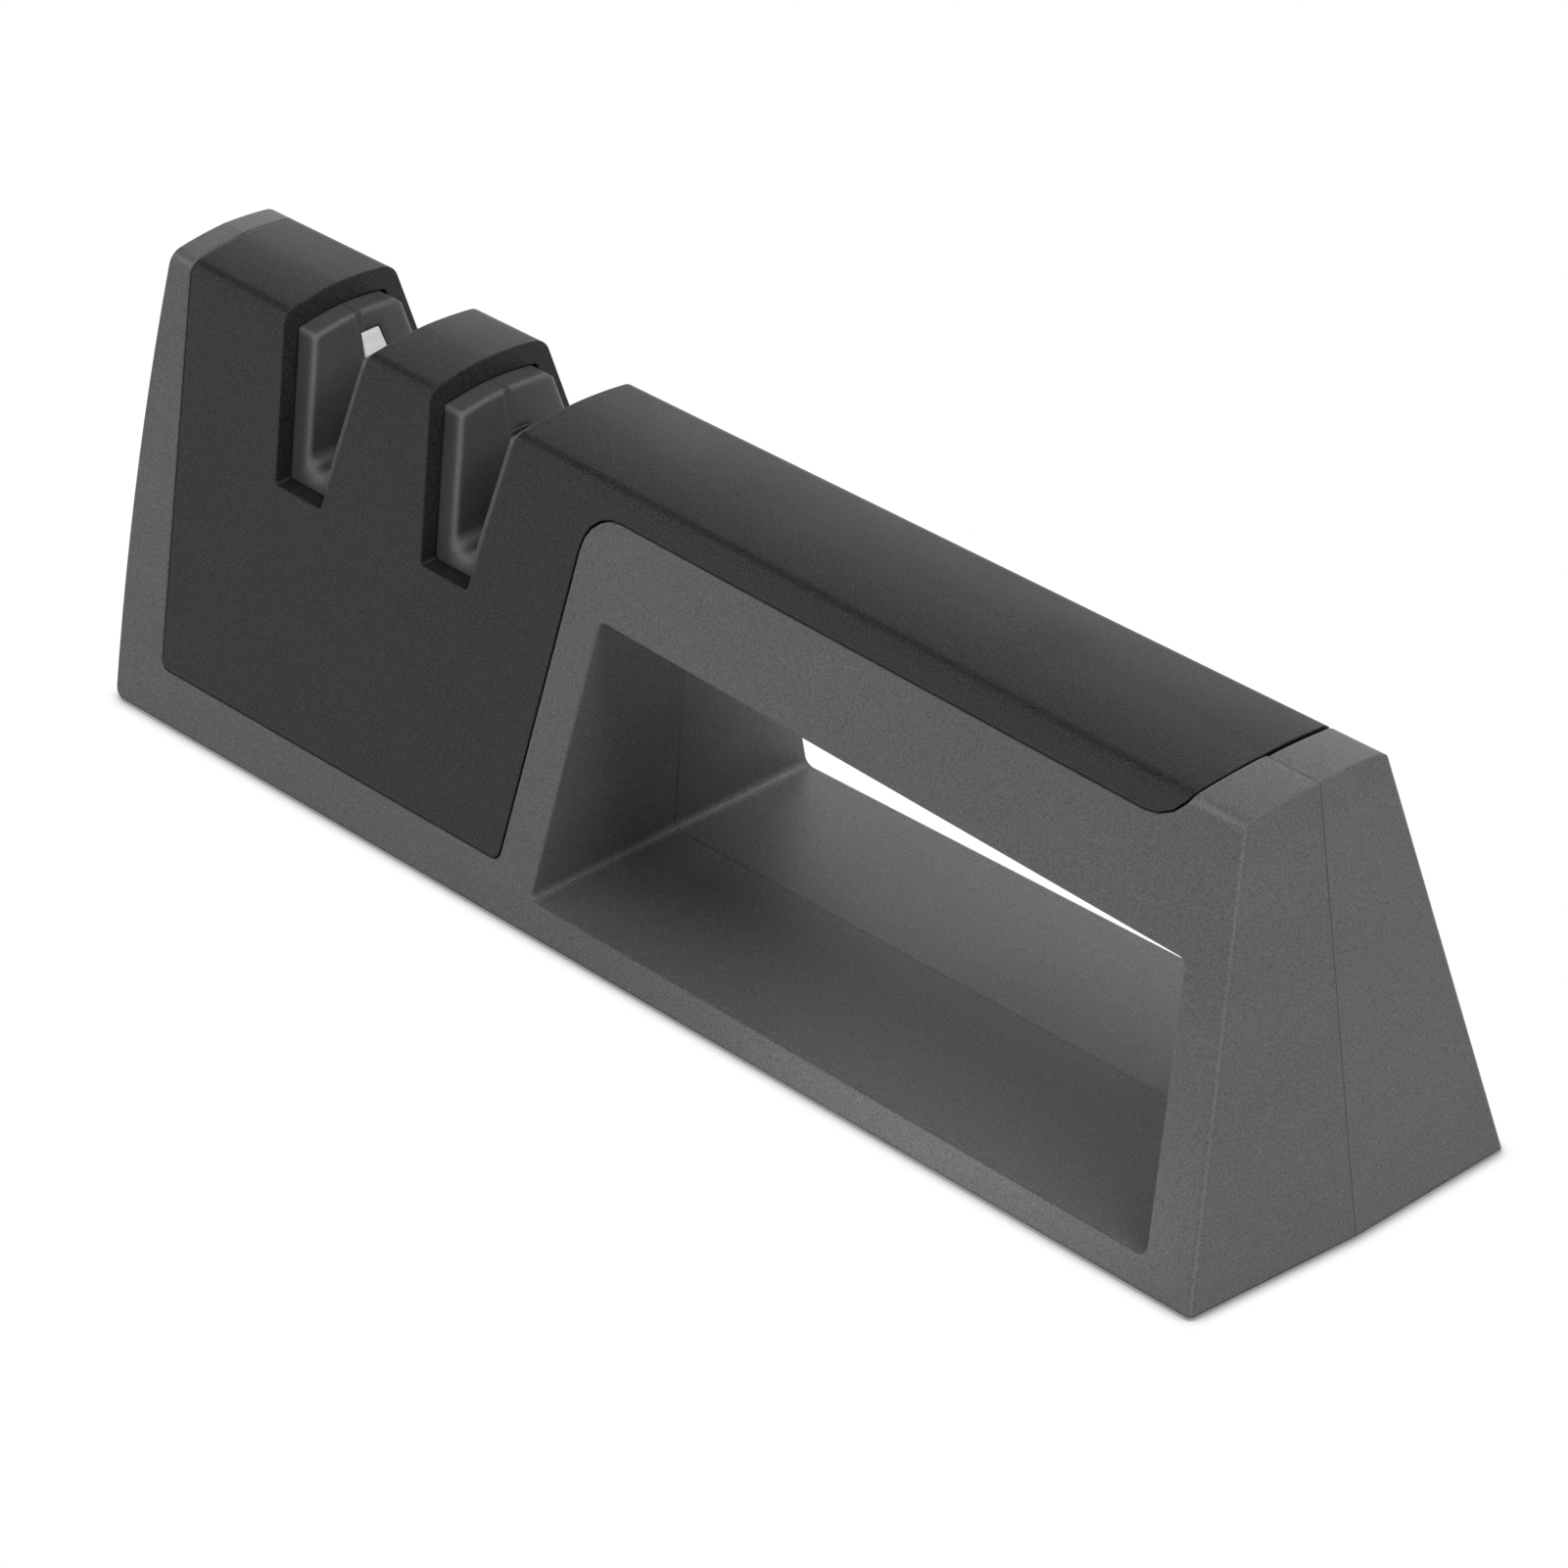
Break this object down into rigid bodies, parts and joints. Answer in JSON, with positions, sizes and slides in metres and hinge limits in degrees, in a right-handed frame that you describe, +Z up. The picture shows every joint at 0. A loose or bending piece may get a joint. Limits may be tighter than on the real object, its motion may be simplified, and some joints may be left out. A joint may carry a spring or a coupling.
{
  "type": "pull-through knife sharpener",
  "caption": "Hand-held pull-through knife sharpener with a loop handle and two V slots, one with crossed ceramic plates, one with crossed carbide plates, in a two-part shell with a cover.",
  "frame": {"origin": "middle of the footprint, on the surface that the base pads rest on", "axes": "+X along the body towards the handle's end, -Y out of the side that the picture shows, +Z up"},
  "size_m": [0.206, 0.055, 0.0613],
  "materials": {
    "grey_plastic": "fine moulded grain, mid grey",
    "black_plastic": "fine moulded grain, near black",
    "guide_plastic": "smooth satin grey",
    "white_ceramic": "fine ground white",
    "carbide": "ground dark metal",
    "steel": "plain steel",
    "pad_rubber": "matte black"
  },
  "bodies": {
    "root": {"front_shell": "grey_plastic", "rear_shell": "grey_plastic", "top_cover": "black_plastic", "ceramic_guide_front": "guide_plastic", "ceramic_guide_rear": "guide_plastic", "carbide_guide_front": "guide_plastic", "carbide_guide_rear": "guide_plastic", "ceramic_plate_front": "white_ceramic", "ceramic_plate_rear": "white_ceramic", "carbide_plate_front": "carbide", "carbide_plate_rear": "carbide", "carbide_pins": "steel", "ceramic_guide_screws": "steel", "carbide_guide_screws": "steel", "head_screws": "steel", "handle_screws": "steel", "tail_screw": "steel", "base_pad_head": "pad_rubber", "base_pad_middle": "pad_rubber", "base_pad_tail": "pad_rubber"}
  },
  "joints": []
}
